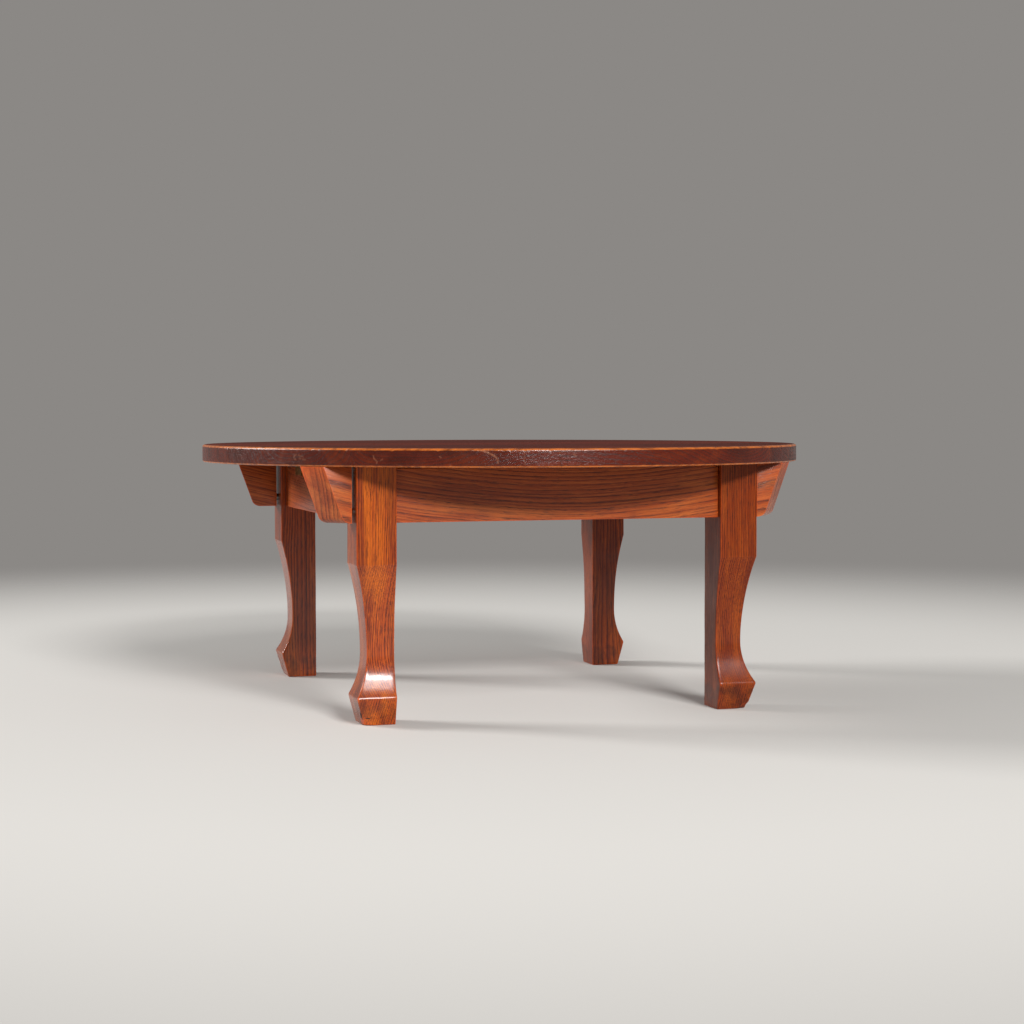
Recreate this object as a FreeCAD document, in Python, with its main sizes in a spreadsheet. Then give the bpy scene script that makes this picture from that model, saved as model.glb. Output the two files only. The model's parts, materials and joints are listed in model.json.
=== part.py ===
import FreeCAD, Part
import math
import os
import Sketcher

# Folding low round table. Millimetres, +Z up.
# The origin is on the floor, under the middle of the round top. X runs along the two long rails.
# One quarter is drawn, the front right one, and the other three are its mirror images.

dimensions = {
    "topDiameter": 758,
    "tableHeight": 319,
    "topThickness": 21.6,
    "topEdgeRound": 2.4,
    "undersideEdgeRound": 2.4,
    "edgeBoardWidth": 94,
    "middleBoardOffset": 3,
    "legCornerInset": 21.3,
    "legExtraReachY": 12.7,
    "legWidth": 47,
    "legDepth": 51,
    "kneeDrop": 47.5,
    "waistHeight": 81,
    "waistRecess": 14.4,
    "ankleHeight": 32,
    "footTaper": 9,
    "legTopClearance": 0.5,
    "railInset": 8.1,
    "railThickness": 27,
    "railHeight": 62.5,
    "railTopGap": 2.4,
    "railEdgeRound": 1,
    "tenonThickness": 12,
    "tenonHeight": 28,
    "tenonDrop": 9,
    "tenonLength": 30,
    "jointClearance": 0.2,
    "earGap": 3.5,
    "earLean": 23.6,
    "earRimSetback": 1,
    "earCornerRound": 9,
    "earShoulder": 4,
    "earTenonLength": 22,
    "earTenonHeight": 9,
    "pivotRise": 12,
    "pinRadius": 4.5,
    "pinRunningGap": 0.08,
    "pinInEar": 15,
    "pinInLeg": 24,
    "pinEndGap": 0.5,
    "sideBoardThickness": 20,
    "sideBoardTopGap": 1.5,
    "sideBoardOuterGap": 2.2,
    "sideBoardInnerGap": 10.6,
    "hingeEndInset": 86,
    "hingeLength": 40,
    "leafWidth": 18,
    "leafThickness": 1.5,
    "knuckleRadius": 2.3,
    "knuckleStandoff": 0.3,
    "knuckleGap": 0.4,
    "hingePinRadius": 1.2,
    "hingeRunningGap": 0.05,
    "screwSpread": 26,
    "screwInset": 11,
    "screwHeadRadius": 2.6,
    "screwHeadHeight": 1.2,
    "screwShankRadius": 1.3,
    "screwLength": 12,
    "screwClearance": 0.1,
    "cutOverrun": 5,
}

# Places that several pieces share, each worked out from the sizes above.
# The legs' outer corners keep a set distance from the rim, and stand a little further out in Y than in X.
places = {
    "topBoardWidth": "( ( topDiameter - edgeBoardWidth * 2 ) / 3 )",
    "underside": "( tableHeight - topThickness )",
    "cornerReach": "( topDiameter / 2 - legCornerInset )",
    "legReachSum": "sqrt( cornerReach * cornerReach * 2 - legExtraReachY * legExtraReachY )",
    "legOuterX": "( ( legReachSum - legExtraReachY ) / 2 )",
    "legOuterY": "( legOuterX + legExtraReachY )",
    "legInnerX": "( legOuterX - legWidth )",
    "legFrontY": "( 0 - legOuterY )",
    "railFrontY": "( railInset - legOuterY )",
    "railBottom": "( underside - railTopGap - railHeight )",
    "kneeHeight": "( railBottom - kneeDrop )",
    "earHeight": "( railHeight + railTopGap )",
    "earStartX": "( legOuterX + earGap )",
    "earReach": "( topDiameter / 2 - earRimSetback )",
    "pivotY": "( legDepth / 2 - legOuterY )",
    "pivotZ": "( railBottom + pivotRise )",
    "swingRadius": "( earHeight - legTopClearance - pivotRise )",
    "sideBoardX": "( legOuterX - railInset )",
    "sideBoardLength": "( legOuterY * 2 - legDepth * 2 - sideBoardOuterGap * 2 )",
    "hingeX": "( sideBoardX + knuckleRadius + knuckleStandoff )",
    "hingeY": "( hingeEndInset - sideBoardLength / 2 )",
    "hingeZ": "( underside - knuckleRadius - knuckleStandoff )",
}

# Corners closer together than this count as level when edges are picked out.
nearEnough = 0.001

doc = FreeCAD.newDocument("FoldingTable")
sheet = doc.addObject("Spreadsheet::Sheet", "Dimensions")
for row, (alias, amount) in enumerate(dimensions.items(), start=1):
    sheet.set("A%d" % row, alias)
    sheet.set("B%d" % row, str(amount))
    sheet.setAlias("B%d" % row, alias)
doc.recompute()
nodes = {}


def spelled(text, size, shared):
    # A formula with each of its sizes and shared places put in another form.
    words = []
    for word in text.split():
        words.append(size(word) if word in dimensions else shared(places[word]) if word in places else word)
    return " ".join(words)


def formula(text):
    return spelled(text, lambda word: "Dimensions." + word, formula)


def number(text):
    # The same formula as a plain number.
    plain = spelled(text, lambda word: repr(float(getattr(sheet, word))), lambda place: repr(number(place)))
    return FreeCAD.Units.Quantity(plain).Value


def bind(piece, settings):
    for setting, text in settings.items():
        piece.setExpression(setting, formula(text))


def place(piece, x, y, z, rotation=None):
    if rotation:
        piece.Placement = FreeCAD.Placement(FreeCAD.Vector(), rotation)
    bind(piece, {"Placement.Base.x": x, "Placement.Base.y": y, "Placement.Base.z": z})


def add(kind, name):
    piece = doc.addObject(kind, name)
    piece.Label = name
    return piece


def box(name, corner, lengths):
    piece = add("Part::Box", name)
    bind(piece, dict(zip(("Length", "Width", "Height"), lengths)))
    place(piece, *corner)
    return piece


alongY = FreeCAD.Rotation(FreeCAD.Vector(1, 0, 0), -90)
inward = FreeCAD.Rotation(FreeCAD.Vector(0, 1, 0), -90)
upright = None


def rod(name, start, radius, length, rotation=upright):
    piece = add("Part::Cylinder", name)
    bind(piece, {"Radius": radius, "Height": length})
    place(piece, *start, rotation)
    return piece


def joined(name, pieces):
    piece = add("Part::MultiFuse", name)
    piece.Shapes = pieces
    return piece


def less(name, base, tool):
    piece = add("Part::Cut", name)
    piece.Base = base
    piece.Tool = tool
    return piece


def shared(name, first, second):
    piece = add("Part::Common", name)
    piece.Base = first
    piece.Tool = second
    return piece


def mirrored(name, source, normal):
    piece = add("Part::Mirroring", name)
    piece.Source = source
    piece.Normal = normal
    return piece


leftward = FreeCAD.Vector(1, 0, 0)
rearward = FreeCAD.Vector(0, 1, 0)


def quarters(name, source):
    # The same piece in all four quarters, the drawn one first.
    left = mirrored("%s at front left" % name, source, leftward)
    rear = mirrored("%s at rear right" % name, source, rearward)
    both = mirrored("%s at rear left" % name, left, rearward)
    return [source, left, rear, both]


def rounded(name, base, radius, choose):
    doc.recompute()
    piece = add("Part::Fillet", name)
    piece.Base = base
    edges = [i for i, edge in enumerate(base.Shape.Edges, start=1) if choose(edge)]
    piece.Edges = [(i, number(radius), number(radius)) for i in edges]
    return piece


def keep(name, piece):
    piece.Label = name
    nodes[name] = piece


def fix(sketch, line, point, x, z):
    # Ties one point of an outline to its two distances from the sketch's origin.
    for kind, axis, distance in (("DistanceX", -2, x), ("DistanceY", -1, z)):
        if distance == "0":
            sketch.addConstraint(Sketcher.Constraint("PointOnObject", line, point, axis))
        elif distance:
            index = sketch.addConstraint(Sketcher.Constraint(kind, -1, 1, line, point, number(distance)))
            sketch.setExpression("Constraints[%d]" % index, formula(distance))


def arcBetween(start, end, middle):
    # Sketch arcs run anticlockwise, so an arc that turns the other way is drawn from its far end.
    flipped = (start - middle).cross(end - middle).z < 0
    first, last = (end, start) if flipped else (start, end)
    angles = [math.atan2((point - middle).y, (point - middle).x) for point in (first, last)]
    circle = Part.Circle(middle, FreeCAD.Vector(0, 0, 1), (start - middle).Length)
    return Part.ArcOfCircle(circle, *angles), (2, 1) if flipped else (1, 2)


def outline(name, origin, rotation, corners, arcs=(), slidingCorner=None):
    # corners are pairs of formulas. arcs holds, for the corner it starts from, an arc's centre
    # and whether the centre's first distance is set too, or follows from the arc's two ends.
    sketch = add("Sketcher::SketchObject", name)
    place(sketch, *origin, rotation)
    points = [FreeCAD.Vector(number(x), number(z), 0) for x, z in corners]
    centres = dict(arcs)
    ends = []
    for i, start in enumerate(points):
        end = points[(i + 1) % len(points)]
        shape, order = Part.LineSegment(start, end), (1, 2)
        if i in centres:
            x, z, _ = centres[i]
            shape, order = arcBetween(start, end, FreeCAD.Vector(number(x), number(z), 0))
        sketch.addGeometry(shape, False)
        ends.append(order)
    for i, order in enumerate(ends):
        after = (i + 1) % len(ends)
        sketch.addConstraint(Sketcher.Constraint("Coincident", i, order[1], after, ends[after][0]))
    for i, (x, z) in enumerate(corners):
        fix(sketch, i, ends[i][0], x, None if i == slidingCorner else z)
    for i, (x, z, bothSet) in centres.items():
        fix(sketch, i, 3, x if bothSet else None, z)
    return sketch


def extruded(name, sketch, direction, length):
    piece = add("Part::Extrusion", name)
    piece.Base = sketch
    piece.DirMode = "Custom"
    piece.Dir = direction
    piece.Solid = True
    bind(piece, {"LengthFwd": length})
    return piece


facingFront = FreeCAD.Rotation(FreeCAD.Vector(1, 0, 0), 90)
facingSide = FreeCAD.Rotation(FreeCAD.Vector(1, 1, 1), 120)


def arcReach(rise):
    # How far outside the leg's hollow an arc's centre lies, for an arc that rises so much to the waist.
    return "( %s ) * ( %s ) / ( 2 * waistRecess ) + waistRecess / 2" % (rise, rise)


def legProfiles():
    # Both outer faces are straight above the knee, hollow below it and splayed out again to the ankle.
    upper = arcReach("kneeHeight - waistHeight")
    lower = arcReach("waistHeight - ankleHeight")
    top = "pivotZ + swingRadius"
    front = outline("leg seen from the front", ("legInnerX", "legFrontY", "0"), facingFront, [
        ("0", "0"), ("legWidth - footTaper", "0"), ("legWidth", "ankleHeight"),
        ("legWidth - waistRecess", "waistHeight"), ("legWidth", "kneeHeight"), ("legWidth", top), ("0", top),
    ], [
        (2, ("legWidth - waistRecess + " + lower, "waistHeight", False)),
        (3, ("legWidth - waistRecess + " + upper, "waistHeight", False)),
    ])
    # The top's inner corner is an arc about the pivot, so that it clears the tabletop as the leg folds.
    shoulder = "pivotZ + sqrt( swingRadius * swingRadius - legDepth * legDepth / 4 )"
    side = outline("leg seen from the side", ("legInnerX", "legFrontY", "0"), facingSide, [
        ("footTaper", "0"), ("legDepth", "0"), ("legDepth", shoulder), ("legDepth / 2", top), ("0", top),
        ("0", "kneeHeight"), ("waistRecess", "waistHeight"), ("0", "ankleHeight"),
    ], [
        (2, ("legDepth / 2", "pivotZ", True)),
        (5, ("waistRecess - ( %s )" % upper, "waistHeight", False)),
        (6, ("waistRecess - ( %s )" % lower, "waistHeight", False)),
    ], slidingCorner=2)
    return front, side


def pivotPin():
    start = "earStartX + pinInEar"
    return rod("pivot pin", (start, "pivotY", "pivotZ"), "pinRadius", "pinInEar + earGap + pinInLeg", inward)


def pivotHole():
    start = "earStartX + pinInEar + pinEndGap"
    length = "pinInEar + earGap + pinInLeg + pinEndGap * 2"
    return rod("pivot hole", (start, "pivotY", "pivotZ"), "pinRadius + pinRunningGap", length, inward)


def railTenon(name, gap):
    # Both of a rail's tenons as one bar through it, or their mortises with the gap round them.
    reach = "( legInnerX + tenonLength + %s )" % gap
    corner = ("0 - " + reach, "railFrontY + ( railThickness - tenonThickness ) / 2 - " + gap,
              "underside - railTopGap - tenonDrop - tenonHeight - " + gap)
    return box(name, corner, (reach + " * 2", "tenonThickness + %s * 2" % gap, "tenonHeight + %s * 2" % gap))


def legs():
    front, side = legProfiles()
    seenFront = extruded("leg from its front", front, FreeCAD.Vector(0, 1, 0), "legDepth")
    seenSide = extruded("leg from its side", side, FreeCAD.Vector(1, 0, 0), "legWidth")
    shape = shared("plain leg", seenFront, seenSide)
    holes = joined("leg holes", [pivotHole(), railTenon("rail mortises", "jointClearance")])
    leg = less("leg", shape, holes)
    for name, piece in zip(("front_right", "front_left", "rear_right", "rear_left"), quarters("leg", leg)):
        keep(name + "_leg", piece)


def rails():
    corner = ("0 - legInnerX", "railFrontY", "railBottom")
    beam = box("rail beam", corner, ("legInnerX * 2", "railThickness", "railHeight"))
    eased = rounded("eased rail", beam, "railEdgeRound", lambda edge: edge.Length > number("legInnerX"))
    rail = joined("rail", [eased, railTenon("rail tenons", "0")])
    keep("front_rail", rail)
    keep("rear_rail", mirrored("rear rail", rail, rearward))


def earSection(name, y):
    # The end follows the round rim above and leans in towards the leg below.
    reach = "( sqrt( earReach * earReach - ( %s ) * ( %s ) ) - earStartX )" % (y, y)
    corners = [("0", "0"), (reach + " - earLean", "0"), (reach, "earHeight"), ("0", "earHeight")]
    return outline(name, ("earStartX", y, "railBottom"), facingFront, corners)


def earTenon(name, gap):
    corner = ("earStartX + earShoulder - " + gap,
              "railFrontY + ( railThickness - tenonThickness ) / 2 - " + gap, "underside")
    return box(name, corner, ("earTenonLength + %s * 2" % gap, "tenonThickness + %s * 2" % gap,
                              "earTenonHeight + " + gap))


def ears():
    block = add("Part::Loft", "ear block")
    ends = (("ear front", "railFrontY"), ("ear back", "railFrontY + railThickness"))
    block.Sections = [earSection(name, y) for name, y in ends]
    block.Solid = True
    block.Ruled = True
    low, start = number("railBottom"), number("earStartX")

    def isLowTip(edge):
        return all(abs(v.Z - low) < nearEnough and v.X > start + nearEnough for v in edge.Vertexes)

    eased = rounded("eased ear", block, "earCornerRound", isLowTip)
    ear = less("ear", joined("ear and tenon", [eased, earTenon("ear tenon", "0")]), pivotHole())
    pin = pivotPin()
    sides = ("front_right", "front_left", "rear_right", "rear_left")
    for name, earPiece, pinPiece in zip(sides, quarters("ear", ear), quarters("pin", pin)):
        keep(name + "_ear", earPiece)
        keep(name + "_pivot_pin", pinPiece)


def screw(name, start, rotation, gap):
    head = add("Part::Cone", name + " head")
    bind(head, {"Radius1": "screwHeadRadius + " + gap, "Radius2": "screwShankRadius + " + gap,
                "Height": "screwHeadHeight"})
    place(head, *start, rotation)
    shank = rod(name + " shank", start, "screwShankRadius + " + gap, "screwLength + " + gap, rotation)
    return joined(name, [head, shank])


def leafScrews(gap, label):
    # The two screws that go up into the tabletop and the two that go into the side board.
    upward, inwards = [], []
    for end, sign in (("front", "-"), ("rear", "+")):
        y = "hingeY %s screwSpread / 2" % sign
        name = "%s %s " % (end, label)
        start = ("hingeX + screwInset", y, "underside - leafThickness")
        upward.append(screw(name + "top", start, upright, gap))
        start = ("sideBoardX + leafThickness", y, "hingeZ - screwInset")
        inwards.append(screw(name + "side", start, inward, gap))
    return joined(label + " in the top", upward), joined(label + " in the board", inwards)


def knuckle(name, y, length, radius="knuckleRadius"):
    return rod(name, ("hingeX", y, "hingeZ"), radius, length, alongY)


def hingeLeaves(topHoles, boardHoles):
    half, sixth = "hingeLength / 2", "hingeLength / 6"
    third = "hingeLength / 3"
    bore = knuckle("hinge bore", "hingeY - %s - cutOverrun" % half, "hingeLength + cutOverrun * 2",
                   "hingePinRadius + hingeRunningGap")
    clear = "knuckleRadius + knuckleGap"
    plate = box("top plate", ("hingeX", "hingeY - " + half, "underside - leafThickness"),
                ("leafWidth", "hingeLength", "leafThickness"))
    first = knuckle("front knuckle", "hingeY - " + half, third + " - knuckleGap / 2")
    last = knuckle("rear knuckle", "hingeY + %s + knuckleGap / 2" % sixth, third + " - knuckleGap / 2")
    notch = box("middle notch", ("hingeX - cutOverrun", "hingeY - %s - knuckleGap / 2" % sixth,
                                 "underside - leafThickness - cutOverrun"),
                ("cutOverrun + " + clear, third + " + knuckleGap", "leafThickness + cutOverrun * 2"))
    topLeaf = less("top leaf", joined("top leaf blank", [plate, first, last]),
                   joined("top leaf cuts", [notch, bore, topHoles]))
    board = box("board plate", ("sideBoardX", "hingeY - " + half, "hingeZ - leafWidth"),
                ("leafThickness", "hingeLength", "leafWidth"))
    middle = knuckle("middle knuckle", "hingeY - %s + knuckleGap / 2" % sixth, third + " - knuckleGap")
    notches = []
    for name, y in (("front notch", "hingeY - %s - cutOverrun" % half),
                    ("rear notch", "hingeY + %s - knuckleGap / 2" % sixth)):
        notches.append(box(name, ("sideBoardX - cutOverrun", y, "hingeZ - " + clear.replace("+", "-")),
                           ("leafThickness + cutOverrun * 2", third + " + knuckleGap / 2 + cutOverrun",
                            clear + " + cutOverrun")))
    boardLeaf = less("board leaf", joined("board leaf blank", [board, middle]),
                     joined("board leaf cuts", notches + [bore, boardHoles]))
    return topLeaf, boardLeaf


def grouped(name, pieces):
    group = add("Part::Compound", name)
    group.Links = pieces
    return group


def hinges():
    topHoles, boardHoles = leafScrews("screwClearance", "screw hole")
    topScrews, boardScrews = leafScrews("0", "screw")
    topLeaf, boardLeaf = hingeLeaves(topHoles, boardHoles)
    pin = knuckle("hinge pin", "hingeY - hingeLength / 2", "hingeLength", "hingePinRadius")
    corners = ("right_front", "left_front", "right_rear", "left_rear")
    for label, piece in (("top_leaf", topLeaf), ("board_leaf", boardLeaf), ("pin", pin)):
        for name, copy in zip(corners, quarters(label, piece)):
            keep("%s_hinge_%s" % (name, label), copy)
    keep("hinge_top_screws", grouped("all top screws", quarters("top screws", topScrews)))
    right, left, rightRear, leftRear = quarters("board screws", boardScrews)
    keep("right_board_hinge_screws", grouped("right board screws", [right, rightRear]))
    keep("left_board_hinge_screws", grouped("left board screws", [left, leftRear]))
    return topHoles, boardHoles


def sideBoards(boardHoles):
    # The ends are cut back towards the inside, so that a board swings out past the folding legs.
    board = add("Part::Wedge", "side board blank")
    cutBack = "sideBoardInnerGap - sideBoardOuterGap"
    bind(board, {"Xmin": "0", "Xmax": "sideBoardLength", "X2min": cutBack,
                 "X2max": "sideBoardLength - ( %s )" % cutBack,
                 "Ymin": "0", "Ymax": "sideBoardThickness", "Zmin": "0", "Z2min": "0",
                 "Zmax": "earHeight - sideBoardTopGap", "Z2max": "earHeight - sideBoardTopGap"})
    turned = FreeCAD.Rotation(FreeCAD.Vector(0, 0, 1), 90)
    place(board, "sideBoardX", "0 - sideBoardLength / 2", "railBottom", turned)
    holes = joined("side board holes", [boardHoles, mirrored("rear board holes", boardHoles, rearward)])
    right = less("side board", board, holes)
    keep("right_side_board", right)
    keep("left_side_board", mirrored("left side board", right, leftward))


def tabletop(topHoles):
    disc = rod("round top", ("0", "0", "underside"), "topDiameter / 2", "topThickness")
    upper, lower = number("tableHeight"), number("underside")

    def circleAt(height):
        return lambda edge: all(abs(v.Z - height) < nearEnough for v in edge.Vertexes)

    eased = rounded("top with its upper edge eased", disc, "topEdgeRound", circleAt(upper))
    eased = rounded("top with both edges eased", eased, "undersideEdgeRound", circleAt(lower))
    sockets = joined("holes in a quarter", [topHoles, earTenon("ear mortise", "jointClearance")])
    holes = joined("holes under the top", quarters("sockets", sockets))
    drilled = less("drilled top", eased, holes)
    names = ("front_edge", "front", "middle", "rear", "rear_edge")
    for step, name in enumerate(names):
        across = "topBoardWidth * ( %s ) + middleBoardOffset" % (step - len(names) / 2)
        strip = box(name + " strip", ("0 - topDiameter / 2 - cutOverrun", across, "underside - cutOverrun"),
                    ("topDiameter + cutOverrun * 2", "topBoardWidth", "topThickness + cutOverrun * 2"))
        keep("top_board_" + name, shared(name + " board", drilled, strip))


def writeNodes():
    doc.recompute()
    for piece in doc.Objects:
        if "Invalid" in piece.State or "Error" in piece.State:
            raise RuntimeError("%s failed: %s" % (piece.Label, piece.State))
    os.makedirs("parts", exist_ok=True)
    for name, piece in nodes.items():
        shape = piece.Shape
        if shape.isNull() or not shape.isValid() or not shape.Solids:
            raise RuntimeError("%s has no sound solid" % name)
        shape.exportStep("parts/%s.step" % name)
        print("%-32s %2d solid(s) %12.1f mm3" % (name, len(shape.Solids), shape.Volume))


legs()
rails()
ears()
topHoles, boardHoles = hinges()
sideBoards(boardHoles)
tabletop(topHoles)
writeNodes()
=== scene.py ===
import json
import math

import bmesh
import bpy
from mathutils import Matrix, Vector, noise


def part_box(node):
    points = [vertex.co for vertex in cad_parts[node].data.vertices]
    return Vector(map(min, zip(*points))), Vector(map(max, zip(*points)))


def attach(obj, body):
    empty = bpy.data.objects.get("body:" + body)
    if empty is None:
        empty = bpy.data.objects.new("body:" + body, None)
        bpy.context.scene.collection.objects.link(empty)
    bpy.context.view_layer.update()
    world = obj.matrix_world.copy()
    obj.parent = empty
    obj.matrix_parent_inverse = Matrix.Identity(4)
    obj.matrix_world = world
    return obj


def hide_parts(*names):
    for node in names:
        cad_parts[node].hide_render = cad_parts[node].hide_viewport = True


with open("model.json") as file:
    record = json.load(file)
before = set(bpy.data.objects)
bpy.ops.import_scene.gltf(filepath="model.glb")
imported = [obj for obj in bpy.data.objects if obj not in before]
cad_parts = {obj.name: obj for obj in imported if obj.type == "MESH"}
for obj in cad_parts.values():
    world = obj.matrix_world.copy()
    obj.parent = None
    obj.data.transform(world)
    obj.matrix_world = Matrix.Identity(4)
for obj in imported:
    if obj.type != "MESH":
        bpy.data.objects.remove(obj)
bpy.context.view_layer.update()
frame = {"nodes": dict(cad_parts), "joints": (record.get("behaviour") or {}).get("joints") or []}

# A round low folding table of lacquered zelkova wood. Sizes in the dictionaries are millimetres.
mm = 0.001
bpy.context.scene.view_settings.view_transform = "Standard"


def hexColour(text):
    # An sRGB hex value as the linear colour that shaders take.
    parts = [int(text[i:i + 2], 16) / 255 for i in (1, 3, 5)]
    linear = [c / 12.92 if c <= 0.04045 else ((c + 0.055) / 1.055) ** 2.4 for c in parts]
    return (*linear, 1.0)


def setInputs(tree, node, inputs):
    # Inputs are plain values, or sockets or nodes that are linked, a node by its first output.
    for socket, value in inputs.items():
        source = value.outputs[0] if isinstance(value, bpy.types.Node) else value
        if isinstance(source, bpy.types.NodeSocket):
            tree.links.new(source, node.inputs[socket])
        else:
            node.inputs[socket].default_value = source


def addNode(tree, kind, inputs=None, **settings):
    # Adds one node with its settings and links.
    node = tree.nodes.new(kind)
    for name, value in settings.items():
        setattr(node, name, value)
    setInputs(tree, node, inputs or {})
    return node


def newMaterial(name):
    material = bpy.data.materials.new(name)
    material.use_nodes = True
    tree = material.node_tree
    tree.nodes.clear()
    shader = addNode(tree, "ShaderNodeBsdfPrincipled")
    output = addNode(tree, "ShaderNodeOutputMaterial", {"Surface": shader})
    return material, tree, shader, output


def colourStops(ramp, look, stops):
    elements = ramp.color_ramp.elements
    while len(elements) < len(stops):
        elements.new(0.5)
    for element, (position, tone) in zip(elements, stops):
        element.position = position
        element.color = hexColour(look[tone])


smoothly = {"interpolation_type": "SMOOTHSTEP"}

# Zelkova: a ring-porous hardwood. Each year's ring starts with a row of wide pores, which the lacquer
# fills dark, and ends in dense, smoother wood. Red-brown lacquer lies over it, worn thin on the arrises.
woodLook = {
    "ringWidth": 2.1, "ringSwing": 1.6, "ringShare": 1.0, "palestRing": 0.4, "grainBend": 13, "bow": 0.0,
    "fibreShare": 0.75, "goldShare": 0.5, "deepShare": 0.6, "poreShare": 0.8, "poreCrowding": 0.14,
    # The dirt layer also darkens the feet towards the floor, which is partly painted shade.
    "dirtAndShadeShare": 0.3, "footDirtAndShade": 0.0, "footDarkeningTop": 33, "footDarkeningFull": 24,
    "wornShare": 0.75, "roundArris": 0.0, "arrisRadius": 1.2,
    "bumpDepth": 0.1, "fibreBump": 0.35, "poreBump": -0.5, "mottle": 0.0, "faceMottle": 0.9,
    "roughness": 0.4, "rubbedSpread": 0.3, "poreRoughness": 0.15, "faceRoughness": 0.0,
    "specular": 0.1, "faceSpecular": 0.0, "coat": 0.8, "coatRoughness": 0.16,
    "pores": "#260902", "early": "#6e2004", "middle": "#9e3c05", "late": "#b84e0a", "gold": "#d46a0c",
    "deep": "#581502", "worn": "#ea5c0c", "scratch": "#e39a72", "grimeAndShade": "#120602",
}

# The sizes of its noises: millimetres across the grain and along it, then detail and roughness.
woodNoise = {
    "waver": (75, 260, 2.0, 0.5),
    "fibre": (0.75, 64, 4.0, 0.66),
    "pore": (0.4, 14, 1.0, 0.5),
    "zone": (13, 170, 2.0, 0.5),
    "drift": (34, 210, 3.0, 0.55),
    "patch": (5, 26, 3.0, 0.6),
    "smudge": (15, 24, 5.0, 0.65),
    "rubbed": (9, 34, 4.0, 0.6),
    "brushed": (2.2, 45, 4.0, 0.6),
    "mottle": (3.2, 4.4, 4.0, 0.62),
}


def grainNoises(tree, own, look, turn, pith, seed):
    # The place in the tree of each spot on the piece, wavering as the trunk did, and the noises there.
    turned = addNode(tree, "ShaderNodeMapping", {
        "Vector": own.outputs["Object"], "Rotation": [math.radians(a) for a in turn]})
    along = addNode(tree, "ShaderNodeMapping", {"Vector": turned, "Location": [-p * mm for p in pith]})
    if look["bow"]:
        # A bent tree: its grain sags towards the middle of the piece.
        lengthwise = addNode(tree, "ShaderNodeSeparateXYZ", {0: turned}).outputs["Z"]
        squared = addNode(tree, "ShaderNodeMath", {0: lengthwise, 1: lengthwise}, operation="MULTIPLY")
        sag = addNode(tree, "ShaderNodeMath", {0: squared, 1: look["bow"]}, operation="MULTIPLY")
        shift = addNode(tree, "ShaderNodeCombineXYZ", {"X": sag})
        along = addNode(tree, "ShaderNodeVectorMath", {0: along, 1: shift}, operation="ADD")
    noises = {}
    for i, (kind, (across, length, detail, roughness)) in enumerate(woodNoise.items()):
        squeezed = addNode(tree, "ShaderNodeMapping", {
            "Vector": along, "Location": (seed + 3.1 * i, seed * 0.7, seed * 1.3),
            "Scale": (1 / (across * mm), 1 / (across * mm), 1 / (length * mm))})
        noises[kind] = addNode(tree, "ShaderNodeTexNoise", {
            "Vector": squeezed, "Scale": 1.0, "Detail": detail, "Roughness": roughness})
        if kind == "waver":
            # The trunk isn't quite straight, so what follows wavers along it.
            lean = addNode(tree, "ShaderNodeVectorMath", {
                0: noises[kind].outputs["Color"], 1: (0.5, 0.5, 0.5)}, operation="SUBTRACT")
            along = addNode(tree, "ShaderNodeVectorMath", {
                0: lean, 1: (look["grainBend"] * mm,) * 3, 2: along}, operation="MULTIPLY_ADD")
    return along, noises


def yearRings(tree, look, along, noises):
    # Years counted outwards from the pith, uneven in width, and each with its own darkness.
    across = addNode(tree, "ShaderNodeVectorMath", {0: along, 1: (1, 1, 0)}, operation="MULTIPLY")
    radius = addNode(tree, "ShaderNodeVectorMath", {0: across}, operation="LENGTH").outputs["Value"]
    perRing = 1 / (look["ringWidth"] * mm)
    years = addNode(tree, "ShaderNodeMath", {0: radius, 1: perRing}, operation="MULTIPLY")
    uneven = addNode(tree, "ShaderNodeTexNoise", {
        "W": years, "Scale": 0.31, "Detail": 2.0}, noise_dimensions="1D")
    swung = addNode(tree, "ShaderNodeMath", {
        0: uneven, 1: look["ringSwing"], 2: years}, operation="MULTIPLY_ADD")
    year = addNode(tree, "ShaderNodeMath", {0: swung}, operation="FLOOR")
    ring = addNode(tree, "ShaderNodeMath", {0: swung}, operation="FRACT")
    yearly = addNode(tree, "ShaderNodeTexWhiteNoise", {"W": year}, noise_dimensions="1D")
    ramp = addNode(tree, "ShaderNodeValToRGB", {"Fac": ring})
    ramp.color_ramp.interpolation = "EASE"
    colourStops(ramp, look, [(0.0, "early"), (0.07, "pores"), (0.17, "early"), (0.4, "middle"),
                             (0.9, "late"), (1.0, "early")])
    strong = addNode(tree, "ShaderNodeMath", {
        0: yearly, 1: 1 - look["palestRing"], 2: look["palestRing"]}, operation="MULTIPLY_ADD")
    broken = addNode(tree, "ShaderNodeMapRange", {
        "Value": noises["patch"], "From Min": 0.3, "From Max": 0.6, "To Min": 0.5 * look["ringShare"],
        "To Max": look["ringShare"]})
    share = addNode(tree, "ShaderNodeMath", {0: strong, 1: broken}, operation="MULTIPLY")
    colour = addNode(tree, "ShaderNodeMix", {
        0: share, 6: hexColour(look["middle"]), 7: ramp}, data_type="RGBA").outputs[2]
    return ring, colour


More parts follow.
